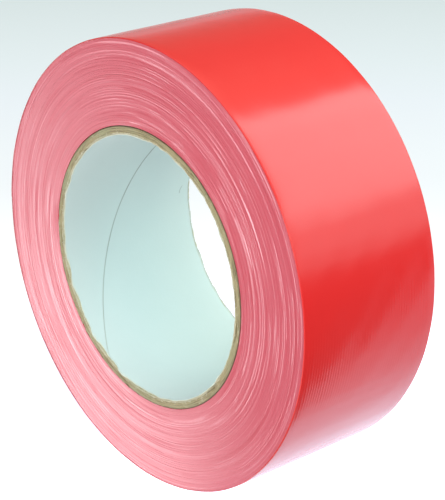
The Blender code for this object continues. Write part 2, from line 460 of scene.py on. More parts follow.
def fibre_material(colours):
    """Loose paper fibres, paler towards yellow."""
    material, tree = new_material("paper_fibre")
    place, _ = object_parts(tree)
    pick = tree.noise(place, 700.0, 1.0)
    colour = tree.blend(pick.smooth(0.35, 0.65), tuple(colours.board_pale),
                        (0.86, 0.85, 0.72, 1.0))
    finish_material(tree, colour, 0.8 + 0.1 * pick)
    return material


def floor_material(stage):
    """A matt floor that glows, most near the roll, its glow painted greyer far behind it."""
    material, tree = new_material("pale_floor")
    _, (x, y, _) = object_parts(tree)
    behind = y * 0.652 - x * 0.758
    shade = tree.add('ShaderNodeValToRGB', {'stops': FLOOR_STOPS},
                     {'Fac': behind / FLOOR_DEPTH})
    near = 1.0 - behind.smooth(0.05, 0.25)
    # painted pool of light in front of the roll's foot, which the lower tread mirrors
    foot = x.smooth(-0.035, 0.0) * (1.0 - x.smooth(0.035, 0.125))
    shader = tree.add('ShaderNodeBsdfPrincipled', None,
                      {'Base Color': tuple(stage.floor_colour), 'Roughness': 0.9,
                       'Specular IOR Level': 0.1, 'Emission Color': shade,
                       'Emission Strength': stage.floor_glow + 0.34 * near + 0.9 * foot * near})
    tree.add('ShaderNodeOutputMaterial', None, {'Surface': shader})
    return material


# ---------------------------------------------------------------- shapes

def outer_radius(angle, sizes):
    """Radius of the tread: it rises one tape thickness in the turn that starts at the tip."""
    turned = (angle - math.radians(270.0)) / FULL_TURN
    return sizes.foot_radius + sizes.tape_thickness * turned


def waves(seed, count, shortest, longest, height, spread=math.pi):
    """Sums of long shallow waves over a surface, as arrays to be used by swell()."""
    source = np.random.default_rng(seed)
    length = source.uniform(shortest, longest, count)
    heading = source.uniform(0, spread, count)
    phase = source.uniform(0, FULL_TURN, count)
    size = source.uniform(0.4, 1.0, count) * height / math.sqrt(count)
    return length, heading, phase, size


def swell(pattern, along, across):
    """Height of the waves at points of a surface."""
    total = np.zeros(np.broadcast(along, across).shape)
    for length, heading, phase, size in zip(*pattern):
        turn = (along * math.cos(heading) + across * math.sin(heading)) / length
        total += size * np.sin(turn * FULL_TURN + phase)
    return total


FILM_WAVES = waves(3, 14, 0.007, 0.026, 0.00003)
FILM_RIPPLES = waves(8, 24, 0.0012, 0.004, 0.000003)
FILM_CREASES = waves(5, 16, 0.0022, 0.006, 0.000008, 0.06)


def thread_place(along, across, sizes):
    """Place across the tape as the cloth's threads count it, which wander a little."""
    drift = swell(FILM_WAVES, along * 0.35, across * 3.0) / 0.00003
    return across + 0.12 * drift * sizes.thread_pitch


def tape_height(along, across, sizes):
    """How far the film stands up over the cloth's threads and the turns below."""
    threads = np.cos(thread_place(along, across, sizes) / sizes.thread_pitch * FULL_TURN)
    # the threads show least where the tape is stretched tightest, over the top of the roll
    tight = np.sin(along / sizes.foot_radius)
    strength = (np.clip(0.95 - 1.05 * tight, 0.08, 1.5)
                * (1.0 + 0.25 * np.sin(along / 0.011 + across / 0.006)))
    return (swell(FILM_WAVES, along, across) + swell(FILM_RIPPLES, along, across)
            + swell(FILM_CREASES, along, across) + THREAD_HEIGHT * strength * threads)


def layer_profile(sizes, upper, lower, upper_rows, lower_rows):
    """Points (y, depth below the tread, 1 on the upper face) once round a layer's section."""
    rounding = sizes.edge_rounding
    flat = sizes.half_width - rounding
    steps = np.radians((72.0, 58.0, 44.0, 30.0, 15.0))

    def face(depth, rows, mark):
        radius = rounding - depth
        near = [(-flat - radius * math.sin(a), rounding - radius * math.cos(a), mark)
                for a in steps]
        middle = [(y, depth, mark) for y in np.linspace(-flat, flat, rows)]
        far = [(-y, drop, mark) for y, drop, mark in reversed(near)]
        return near + middle + far

    profile = np.array(face(upper, upper_rows, 1.0) + face(lower, lower_rows, 0.0)[::-1])
    edge = sizes.half_width - sizes.shoulder_width
    share = np.clip((np.abs(profile[:, 0]) - edge) / sizes.shoulder_width, 0.0, 1.0)
    profile[:, 1] += sizes.shoulder_drop * share ** 2
    return profile


def link_new(name, data):
    """A new object in the scene."""
    item = bpy.data.objects.new(name, data)
    bpy.context.scene.collection.objects.link(item)
    return item


def round_points(radius, angle, y):
    """Points at a distance from the roll's axis, at an angle and a place along it."""
    return np.stack(np.broadcast_arrays(radius * np.cos(angle), y, radius * np.sin(angle)),
                    axis=-1)


def set_tape_uv(mesh, places):
    """Stores the place on the tape of every vertex, (along, across), as a UV map."""
    corners = np.zeros(len(mesh.loops), dtype=np.int32)
    mesh.loops.foreach_get("vertex_index", corners)
    layer = mesh.uv_layers.new(name="tape")
    layer.data.foreach_set("uv", places[corners].astype(np.float32).ravel())


def set_values(mesh, name, values):
    """Stores one number for every vertex."""
    layer = mesh.attributes.new(name, 'FLOAT', 'POINT')
    layer.data.foreach_set("value", values.astype(np.float32).ravel())


def made_once(name, make, *settings):
    """A material that several pieces share."""
    return bpy.data.materials.get(name) or make(*settings)


def cloth_depths(sizes):
    """How deep the cloth's two faces lie below the tread, with a hair's gap on both sides."""
    return sizes.film_thickness + CLOTH_GAP, sizes.tape_thickness - CLOTH_INSET


def build_mesh(name, places, close_along, close_around, uv=None):
    """A skin over a grid of points (columns, rows). Open ends get caps."""
    columns, rows = places.shape[:2]
    faces = []
    for column in range(columns if close_along else columns - 1):
        start = column * rows
        after = ((column + 1) % columns) * rows
        for row in range(rows if close_around else rows - 1):
            above = (row + 1) % rows
            faces.append((start + row, after + row, after + above, start + above))
    if close_around and not close_along:
        last = (columns - 1) * rows
        faces.append(tuple(range(rows)))
        faces.append(tuple(last + row for row in reversed(range(rows))))
    mesh = bpy.data.meshes.new(name)
    mesh.from_pydata(places.reshape(-1, 3).tolist(), [], faces)
    if uv is not None:
        set_tape_uv(mesh, uv.reshape(-1, 2))
    mesh.validate()
    return mesh


def outward(mesh, merge=0.0):
    """Merges doubles if asked, fills open loops and turns every face outwards."""
    builder = bmesh.new()
    builder.from_mesh(mesh)
    if merge:
        bmesh.ops.remove_doubles(builder, verts=builder.verts, dist=merge)
    open_edges = [edge for edge in builder.edges if len(edge.link_faces) == 1]
    if open_edges:
        bmesh.ops.holes_fill(builder, edges=open_edges)
    bmesh.ops.recalc_face_normals(builder, faces=builder.faces)
    builder.to_mesh(mesh)
    builder.free()


def finish_piece(name, mesh, materials, sharp=35.0):
    """Shades a mesh and links it as a piece at the origin."""
    mesh.shade_smooth()
    mesh.set_sharp_from_angle(angle=math.radians(sharp))
    mesh.materials.clear()
    for material in materials:
        mesh.materials.append(material)
    return link_new(name, mesh)


def tape_layer(name, sizes, upper, lower, start, stop, step, rows, material, cut=0.0):
    """One layer of tape on the tread, from one angle to another."""
    profile = layer_profile(sizes, upper, lower, rows, 9)
    columns = max(3, int(round((stop - start) * sizes.foot_radius / step)) + 1)
    angle = np.linspace(start, stop, columns)[:, None]
    y = profile[None, :, 0]
    if cut:
        # the tip was torn off over a toothed bar, so its edge is a fine uneven zigzag
        teeth = np.abs(((y / TOOTH_PITCH) % 1.0) - 0.5) * 2 - 0.5
        ragged = teeth * cut + swell(waves(21, 9, 0.002, 0.011, cut * 0.8), y * 0, y)
        near_tip = np.clip((angle - stop) * sizes.foot_radius / 0.003 + 1.0, 0.0, 1.0) ** 2
        angle = angle + near_tip * ragged / sizes.foot_radius
    along = angle * sizes.foot_radius
    radius = outer_radius(angle, sizes) - profile[None, :, 1]
    radius = radius + tape_height(along, y, sizes) * (0.25 + 0.75 * profile[None, :, 2])
    places = round_points(radius, angle, y)
    uv = np.stack(np.broadcast_arrays(along / MM, thread_place(along, y, sizes) / MM), axis=-1)
    mesh = build_mesh(name, places, False, True, uv)
    outward(mesh)
    return finish_piece(name, mesh, [material], 40.0)


# ---------------------------------------------------------------- geometry node trees

def group_with(name, sockets):
    """A Geometry Nodes group with named inputs: (name, type, default)."""
    group = bpy.data.node_groups.new(name, 'GeometryNodeTree')
    interface = group.interface
    interface.new_socket("Geometry", in_out='INPUT', socket_type='NodeSocketGeometry')
    for label, kind, default in sockets:
        socket = interface.new_socket(label, in_out='INPUT', socket_type=kind)
        if default is not None:
            socket.default_value = default
    interface.new_socket("Geometry", in_out='OUTPUT', socket_type='NodeSocketGeometry')
    tree = Tree(group)
    given = tree.add('NodeGroupInput').output.node
    return group, tree, {output.name: Wire(tree, output) for output in given.outputs
                         if output.name}


def apply_group(name, mesh, group, values):
    """Runs a group on a mesh and returns the plain mesh that comes out."""
    carrier = link_new(name + "_carrier", mesh)
    modifier = carrier.modifiers.new("shape", 'NODES')
    modifier.node_group = group
    identifiers = {item.name: item.identifier for item in group.interface.items_tree
                   if item.in_out == 'INPUT'}
    for label, value in values.items():
        modifier[identifiers[label]] = value
    bpy.context.view_layer.update()
    depsgraph = bpy.context.evaluated_depsgraph_get()
    result = bpy.data.meshes.new_from_object(carrier.evaluated_get(depsgraph))
    result.name = name
    carrier.modifiers.remove(modifier)
    bpy.data.objects.remove(carrier)
    return result


# turns that stand proud of the side face: turn, place in the turn, spread, turns wide, height
PROUD_TURNS = (
    (78.8, 0.13, 0.32, 1.00), (40.0, 0.15, 0.95, 0.55), (37.6, 0.13, 0.40, 0.50),
    (10.7, 0.16, 0.75, 0.50), (59.3, 0.11, 0.40, 0.80), (34.5, 0.14, 0.36, 0.85),
    (36.9, 0.10, 0.30, 0.60), (116.4, 0.12, 0.35, 0.55), (122.5, 0.10, 0.30, 0.60),
    (98.2, 0.16, 0.60, 0.30), (130.3, 0.20, 0.35, 0.55), (66.7, 0.18, 0.50, 0.35),
    (20.9, 0.12, 0.40, 0.40), (88.6, 0.10, 0.40, 0.40), (106.5, 0.14, 0.50, 0.35),
)
OUTER_ROWS = 26


def windings_group():
    """The wound tape: one strip in a spiral, each turn a step of its own on both side faces."""
    group, tree, given = group_with("wound_tape", (
        ("Inner Radius", 'NodeSocketFloat', 0.0404),
        ("Outer Radius", 'NodeSocketFloat', 0.0648),
        ("Half Width", 'NodeSocketFloat', 0.024),
        ("Turns", 'NodeSocketInt', 136),
        ("Steps Round", 'NodeSocketInt', 128),
        ("Start Angle", 'NodeSocketFloat', 3.1),
        ("Edge Rounding", 'NodeSocketFloat', 0.0008),
        ("Shoulder Width", 'NodeSocketFloat', 0.003),
        ("Shoulder Drop", 'NodeSocketFloat', 0.0001),
        ("Wander", 'NodeSocketFloat', 0.0001),
        ("Seed", 'NodeSocketFloat', 4.0),
        ("Edges", 'NodeSocketMaterial', None),
        ("Film", 'NodeSocketMaterial', None),
    ))
    turns = given["Turns"] * 1.0
    side_rows = turns * 2.0
    rows = side_rows * 2.0 + float(OUTER_ROWS + 1)
    grid = tree.add('GeometryNodeMeshGrid', None,
                    {'Size X': 1.0, 'Size Y': 1.0,
                     'Vertices X': given["Steps Round"] + 1.0, 'Vertices Y': rows})
    place = tree.split(tree.add('GeometryNodeInputPosition'))
    part = place[0] + 0.5
    row = ((place[1] + 0.5) * (rows - 1.0)).maths('ROUND')

    # rows run out over the near side face, across the tread, in over the far face and back
    far_row = side_rows * 2.0 + float(OUTER_ROWS - 1) - row
    is_last = row.maths('GREATER_THAN', side_rows * 2.0 + float(OUTER_ROWS) - 0.5)
    is_far = (row.maths('GREATER_THAN', side_rows + float(OUTER_ROWS) - 0.5)
              * (1.0 - is_last))
    is_near = row.maths('LESS_THAN', side_rows - 0.5).maths('MAXIMUM', is_last)
    is_outer = 1.0 - is_far - is_near
    near_row = row * (1.0 - is_last)
    side_row = is_near * near_row + is_far * far_row + is_outer * (side_rows - 1.0)
    turn = (side_row * 0.5).maths('FLOOR')
    second = side_row - turn * 2.0
    wound = turn + part
    pitch = (given["Outer Radius"] - given["Inner Radius"]) / turns
    radius = given["Inner Radius"] + pitch * (wound + 0.03 + 0.94 * second)
    rim = given["Outer Radius"] + pitch * part

    # each turn wanders a little from side to side as it was wound on
    def drift(pace, shift):
        value = tree.add('ShaderNodeTexNoise', {'noise_dimensions': '1D'},
                         {'W': wound * pace + (given["Seed"] + shift), 'Scale': 1.0,
                          'Detail': 1.0})
        return value - 0.5

    wander = drift(1.9, 0.0) * 1.5 + drift(0.37, 31.0) * 2.2 + drift(0.055, 77.0) * 2.6
    proud = None
    for centre, spread, width, height in PROUD_TURNS:
        # the nearest point of this turn, so that the line fades along and across it
        across = (turn - math.floor(centre)) / width
        along = (part - (centre % 1.0)) / spread
        bump = (-1.0 * (across * across + along * along)).maths('EXPONENT') * height
        proud = bump if proud is None else proud + bump
    lift = wander + proud * 1.6
    into = (1.0 - (rim - radius) / given["Edge Rounding"]).maths('MAXIMUM', 0.0)
    into = into.maths('MINIMUM', 0.96)
    recess = given["Edge Rounding"] * (1.0 - (1.0 - into * into).maths('SQRT'))
    face = given["Half Width"] - recess
    shift = wander * given["Wander"]
    stand = proud * given["Wander"] * 1.6
    y_near = shift - face - stand
    y_far = face + shift
    over = (row - side_rows + 1.0) / float(OUTER_ROWS + 1)
    y_outer = (over * 2.0 - 1.0) * (given["Half Width"] - given["Edge Rounding"] * 0.8)
    y = is_near * y_near + is_far * y_far + is_outer * y_outer
    strip = given["Shoulder Width"]
    share = ((y_outer.maths('ABSOLUTE') - given["Half Width"] + strip) / strip)
    share = share.maths('MAXIMUM', 0.0)
    fallen = rim - given["Shoulder Drop"] * share * share
    full = is_outer * fallen + (1.0 - is_outer) * radius
    angle = given["Start Angle"] + part * FULL_TURN
    spot = tree.xyz(full * angle.maths('COSINE'), y, full * angle.maths('SINE'))
    placed = tree.add('GeometryNodeSetPosition', None, {'Geometry': grid, 'Position': spot})

    streak = drift(1.3, 11.0) * 1.9 + drift(6.0, 5.0) * 0.8
    # painted light in the tone: turns that stand out are lighter, turns set back darker, over
    # random streaks
    tone = 0.46 + streak * 0.12 - wander * is_near * 0.05 + wander * is_far * 0.05 + proud * 0.5
    stored = tree.add('GeometryNodeStoreNamedAttribute', {'data_type': 'FLOAT'},
                      {'Geometry': placed, 'Name': "tone", 'Value': tone})
    uv = tree.xyz(angle * rim / MM, y / MM)
    stored = tree.add('GeometryNodeStoreNamedAttribute', {'data_type': 'FLOAT_VECTOR'},
                      {'Geometry': stored, 'Name': "tape_place", 'Value': uv})
    solid = tree.add('GeometryNodeRealizeInstances', None, {'Geometry': stored})
    edged = tree.add('GeometryNodeSetMaterial', None,
                     {'Geometry': solid, 'Material': given["Edges"]})
    on_rim = is_outer.maths('GREATER_THAN', 0.4)
    filmed = tree.add('GeometryNodeSetMaterial', None,
                      {'Geometry': edged, 'Selection': on_rim, 'Material': given["Film"]})
    tree.add('NodeGroupOutput', None, {0: filmed})
    return group


def fibres_group():
    """Loose paper fibres scattered over the faces that come in."""
    group, tree, given = group_with("paper_fibres", (
        ("Density", 'NodeSocketFloat', 1000000.0),
        ("Length", 'NodeSocketFloat', 0.001),
        ("Width", 'NodeSocketFloat', 0.00006),
        ("Seed", 'NodeSocketInt', 5),
        ("Material", 'NodeSocketMaterial', None),
    ))
    points = tree.add('GeometryNodeDistributePointsOnFaces', None,
                      {'Mesh': given["Geometry"], 'Density': given["Density"],
                       'Seed': given["Seed"]})
    facing = Wire(tree, points.output.node.outputs['Rotation'])
    sliver = tree.add('GeometryNodeMeshGrid', None,
                      {'Size X': given["Length"], 'Size Y': given["Width"],
                       'Vertices X': 5, 'Vertices Y': 2})
    place = tree.split(tree.add('GeometryNodeInputPosition'))
    reach = place[0] / given["Length"]
    curled = tree.xyz(place[0], place[1] * (1.0 - 1.4 * reach * reach)
                      + given["Length"] * 0.35 * reach * reach,
                      given["Length"] * (0.22 - 0.9 * reach * reach))
    bent = tree.add('GeometryNodeSetPosition', None, {'Geometry': sliver, 'Position': curled})
    solid = tree.add('GeometryNodeExtrudeMesh', None,
                     {'Mesh': bent, 'Offset Scale': given["Width"] * 0.5,
                      'Individual': False})
    spin = tree.add('FunctionNodeRandomValue', {'data_type': 'FLOAT_VECTOR'},
                    {'Min': (-0.5, -0.5, 0.0), 'Max': (0.5, 0.5, FULL_TURN),
                     'Seed': given["Seed"] + 1.0})
    size = tree.add('FunctionNodeRandomValue', {'data_type': 'FLOAT'},
                    {2: 0.35, 3: 1.25, 'Seed': given["Seed"] + 2.0}, 1)
    turned = tree.add('FunctionNodeRotateRotation', {'rotation_space': 'LOCAL'},
                      {'Rotation': facing, 'Rotate By': spin})
    scattered = tree.add('GeometryNodeInstanceOnPoints', None,
                         {'Points': points, 'Instance': solid, 'Rotation': turned,
                          'Scale': tree.xyz(size, size, size)})
    plain = tree.add('GeometryNodeRealizeInstances', None, {'Geometry': scattered})
    coloured = tree.add('GeometryNodeSetMaterial', None,
                        {'Geometry': plain, 'Material': given["Material"]})
    tree.add('NodeGroupOutput', None, {0: coloured})
    return group


# ---------------------------------------------------------------- operators

class BuildLiner(bpy.types.Operator):
    """Build the pale paper strip that lines the core, with its slanting seam"""
    bl_idname = "tape_roll.build_liner"
    bl_label = "Paper Liner"

    def execute(self, context):
        sizes = context.scene.roll_sizes
        columns, rows = 361, 61
        gap = math.radians(0.30)
        share = np.linspace(0.0, 1.0, columns)[:, None]
        y = np.linspace(-sizes.half_width, sizes.half_width, rows)[None, :]
        seam = sizes.seam_angle - sizes.seam_lead * y / sizes.half_width
        angle = seam + gap / 2 + (FULL_TURN - gap) * share
        near_seam = np.minimum(share, 1.0 - share) * FULL_TURN * sizes.bore_radius
        source = np.random.default_rng(12)
        # the strip's ends are cut with the core, and tear a little where the blade passes
        fray = np.cumsum(source.normal(0, 1, (2, columns)), axis=1)
        fray -= np.linspace(0, 1, columns)[None, :] * fray[:, -1:]
        fray = fray / np.abs(fray).max() * 0.25 + source.uniform(-0.5, 0.5, (2, columns))
        pull = np.zeros((columns, rows))
        for end, column in ((0, 0), (1, rows - 1)):
            inward = 1 if end == 0 else -1
            ramp = np.clip(1.0 - np.abs(np.arange(rows) - column) / 1.5, 0, 1)[None, :]
            wave = swell(waves(33 + end, 12, 0.003, 0.016, 0.0004),
                         share * FULL_TURN * sizes.bore_radius, 0 * share)
            notch = 0.0011 * np.exp(-((angle - NOTCH_ANGLE) / 0.025) ** 2) * (end == 0)
            pull += ramp * (fray[end][:, None] * 0.00018 + wave + notch + 0.00035) * inward
        bulge = swell(waves(31, 10, 0.012, 0.05, 0.00007), angle * sizes.bore_radius,
                      y + 0 * share)
        ends = np.abs(y) / sizes.half_width
        lip = np.clip((ends - 0.97) / 0.03, 0, 1) * 0.00008
        lifted = (np.exp(-(near_seam / 0.0012) ** 2) * (share < 0.5) * 0.00009
                  * (0.5 + 0.5 * np.sin(y / 0.006)))
        inner = sizes.bore_radius + bulge * 0.5 - lip - lifted
        outer = inner + sizes.liner_thickness * 0.9
        y_full = y + pull
        places = np.concatenate([round_points(inner, angle, y_full),
                                 round_points(outer, angle, y_full)[:, ::-1]], axis=1)
        mesh = build_mesh("core_liner_paper", places, False, True)
        torn = np.clip((ends - 0.985) / 0.015, 0, 1) + 0 * share
        torn = np.concatenate([torn * source.uniform(0.2, 1.0, (columns, rows)),
                               torn * 0 + 1.0], axis=1)
        dark = np.exp(-(near_seam / 0.00022) ** 2) * np.clip(0.75 + y / 0.05, 0, 1)
        dark[:, -1] = source.uniform(0.45, 0.95, columns)
        dark = np.concatenate([dark, dark[:, ::-1]], axis=1)
        for label, value in (("torn", torn), ("seam", dark)):
            set_values(mesh, label, value)
        outward(mesh)
        material = liner_material(context.scene.roll_colours, sizes)
        piece = finish_piece("core_liner_paper", mesh, [material], 50.0)
        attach(piece, "roll")
        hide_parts("core_liner")
        return {'FINISHED'}


class BuildBoard(bpy.types.Operator):
    """Build the four board plies of the core, with rough cut ends"""
    bl_idname = "tape_roll.build_board"
    bl_label = "Board Plies"

    def execute(self, context):
        sizes = context.scene.roll_sizes
        material = board_material(context.scene.roll_colours)
        start = sizes.bore_radius + sizes.liner_thickness
        depth = (sizes.core_radius - start) / len(PLY_NODES)
        columns = 540
        angle = np.linspace(0, FULL_TURN, columns, endpoint=False)[:, None]
        for number, node in enumerate(PLY_NODES):
            source = np.random.default_rng(40 + number)
            inner = start + depth * number + PLY_GAP
            outer = start + depth * (number + 1) - PLY_GAP
            # section: in along the near end, over the outside, in at the far end, back inside
            across = np.array([0.0, 0.35, 0.7, 1.0])
            radius = np.concatenate([inner + (outer - inner) * across,
                                     inner + (outer - inner) * across[::-1]])[None, :]
            side = np.array([-1.0] * 4 + [1.0] * 4)[None, :]
            rough = source.normal(0, 1, (columns, 8))
            rough = (rough + np.roll(rough, 1, axis=0) + np.roll(rough, -1, axis=0)) / 2.2
            chips = np.zeros((columns, 1))
            for _ in range(16):
                where = source.uniform(0, FULL_TURN)
                wide = source.uniform(0.01, 0.05)
                away = (angle - where + math.pi) % FULL_TURN - math.pi
                chips += source.uniform(0.1, 0.5) * np.exp(-(away / wide) ** 2)
            nicks = np.zeros((columns, 1))
            for ply, where, wide, deep in NICKS:
                away = (angle - where + math.pi) % FULL_TURN - math.pi
                nicks += (ply == number) * deep * np.exp(-(away / wide) ** 2)
            y = side * (sizes.half_width - 0.00004 - rough * 0.00007 - chips * 0.00030
                        - 0.00005 * (number % 2) - nicks * (side < 0))
            sway = swell(waves(50 + number, 8, 0.004, 0.02, 0.00004),
                         angle * sizes.core_radius, side * 0.01)
            ring = radius + sway * 0.5
            places = round_points(ring, angle, y)
            name = "core_board_%d" % (number + 1)
            mesh = build_mesh(name, places, True, True)
            outward(mesh)
            piece = finish_piece(name, mesh, [material], 35.0)
            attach(piece, "roll")
            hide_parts(node)
        return {'FINISHED'}


class BuildFibres(bpy.types.Operator):
    """Scatter torn paper fibres over the cut ends of the core"""
    bl_idname = "tape_roll.build_fibres"
    bl_label = "Paper Fibres"

    def execute(self, context):
        sizes = context.scene.roll_sizes
        columns = 180
        angle = np.linspace(0, FULL_TURN, columns, endpoint=False)[:, None]
        faces = []
        places = []
        for side in (-1, 1):
            base = len(places)
            for turn in angle[:, 0]:
                for radius in (sizes.bore_radius + 0.0001, sizes.bore_radius + 0.0009):
                    places.append((radius * math.cos(turn),
                                   side * (sizes.half_width - 0.0001),
                                   radius * math.sin(turn)))
            for column in range(columns):
                first = base + column * 2
                after = base + ((column + 1) % columns) * 2
                ring = (first, first + 1, after + 1, after)
                faces.append(ring if side < 0 else ring[::-1])
        mesh = bpy.data.meshes.new("fibre_ground")
        mesh.from_pydata(places, [], faces)
        group = fibres_group()
        material = fibre_material(context.scene.roll_colours)
        result = apply_group("core_fibres", mesh, group,
                             {"Density": 700000.0, "Length": 0.0008, "Width": 0.00007,
                              "Seed": 5, "Material": material})
        if not result.polygons:
            raise RuntimeError("no fibres were made")
        outward(result)
        piece = finish_piece("core_fibres", result, [material], 60.0)
        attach(piece, "roll")
        return {'FINISHED'}


class BuildWindings(bpy.types.Operator):
    """Wind the tape in one spiral from the core to the turn below the last"""
    bl_idname = "tape_roll.build_windings"
    bl_label = "Wound Tape"

    def execute(self, context):
        sizes = context.scene.roll_sizes
        colours = context.scene.roll_colours
        edges = edges_material(colours)
        film = made_once("red_film", film_material, colours, sizes)
        group = windings_group()
        carrier = bpy.data.meshes.new("windings_carrier")
        below = outer_radius(TIP_ANGLE, sizes) - sizes.tape_thickness
        mesh = apply_group("wound_tape", carrier, group,
                           {"Inner Radius": sizes.core_radius + 0.00005,
                            "Outer Radius": below,
                            "Half Width": sizes.half_width - 0.0002,
                            "Turns": sizes.turns, "Steps Round": 128,
                            "Start Angle": TIP_ANGLE,
                            "Edge Rounding": (sizes.edge_rounding - sizes.tape_thickness) * 0.3,
                            "Shoulder Width": sizes.shoulder_width,
                            "Shoulder Drop": sizes.shoulder_drop,
                            "Wander": 0.000045, "Seed": 4.0, "Edges": edges, "Film": film})
        if len(mesh.polygons) < 1000:
            raise RuntimeError("the wound tape came out empty")
        outward(mesh, 0.0000003)
        place = mesh.attributes["tape_place"]
        values = np.zeros(len(mesh.vertices) * 3, dtype=np.float32)
        place.data.foreach_get("vector", values)
        set_tape_uv(mesh, values.reshape(-1, 3)[:, :2])
        mesh.attributes.remove(mesh.attributes["tape_place"])
        mesh.shade_smooth()
        mesh.set_sharp_from_angle(angle=math.radians(35.0))
        piece = link_new("wound_tape", mesh)
        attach(piece, "roll")
        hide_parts("tape_windings")
        return {'FINISHED'}


class BuildLastTurn(bpy.types.Operator):
    """Lay the last turn of tape round the roll, up to the free end"""
    bl_idname = "tape_roll.build_last_turn"
    bl_label = "Last Turn"

    def execute(self, context):
        sizes = context.scene.roll_sizes
        colours = context.scene.roll_colours
        film = made_once("red_film", film_material, colours, sizes)
        cloth = made_once("cloth_and_adhesive", cloth_material, colours)
        start = TIP_ANGLE + math.radians(0.1)
        stop = TIP_ANGLE + FULL_TURN - FREE_LENGTHS * HINGE_STEP
        piece = tape_layer("tread_film", sizes, 0.0, sizes.film_thickness, start, stop,
                           0.00100, 210, film)
        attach(piece, "roll")
        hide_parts("outer_turn_film")
        under = tape_layer("tread_cloth", sizes, *cloth_depths(sizes), start, stop, 0.002, 40,
                           cloth)
        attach(under, "roll")
        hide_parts("outer_turn_cloth", "outer_turn_adhesive")
        return {'FINISHED'}


class BuildFreeEnd(bpy.types.Operator):
    """Lay the free end of the tape, in four lengths that meet each other"""
    bl_idname = "tape_roll.build_free_end"
    bl_label = "Free End"

    def execute(self, context):
        sizes = context.scene.roll_sizes
        colours = context.scene.roll_colours
        film = made_once("red_film", film_material, colours, sizes)
        cloth = made_once("cloth_and_adhesive", cloth_material, colours)
        first_hinge = TIP_ANGLE + FULL_TURN - FREE_LENGTHS * HINGE_STEP
        for number in range(1, FREE_LENGTHS + 1):
            hinge = first_hinge + (number - 1) * HINGE_STEP
            # every length runs across one hinge, and meets the next halfway to the next hinge
            bend_from = hinge if number == 1 else hinge - HINGE_STEP / 2
            bend_to = hinge + HINGE_STEP / 2
            stop = bend_to if number < FREE_LENGTHS else hinge + HINGE_STEP
            cut = TEAR_DEPTH if number == FREE_LENGTHS else 0.0
            start_point = self.on_tread(bend_from, sizes)
            end_point = self.on_tread(bend_to, sizes)
            for kind, (upper, lower), rows, material, nodes, slot in (
                    ("film", (0.0, sizes.film_thickness), 210, film,
                     ("tape_end_film_%d" % number,), "red_film"),
                    ("cloth", cloth_depths(sizes), 90, cloth,
                     ("tape_end_cloth_%d" % number, "tape_end_adhesive_%d" % number),
                     "cloth")):
                piece = tape_layer("free_end_%s_%d" % (kind, number), sizes, upper, lower,
                                   bend_from, stop, 0.0005, rows, material, cut)
                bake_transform(piece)
                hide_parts(*nodes)
        return {'FINISHED'}

    @staticmethod
    def on_tread(angle, sizes):
        """A point on the tread, in the middle of the tape's width."""
        radius = outer_radius(angle, sizes)
        return (radius * math.cos(angle), 0.0, radius * math.sin(angle))


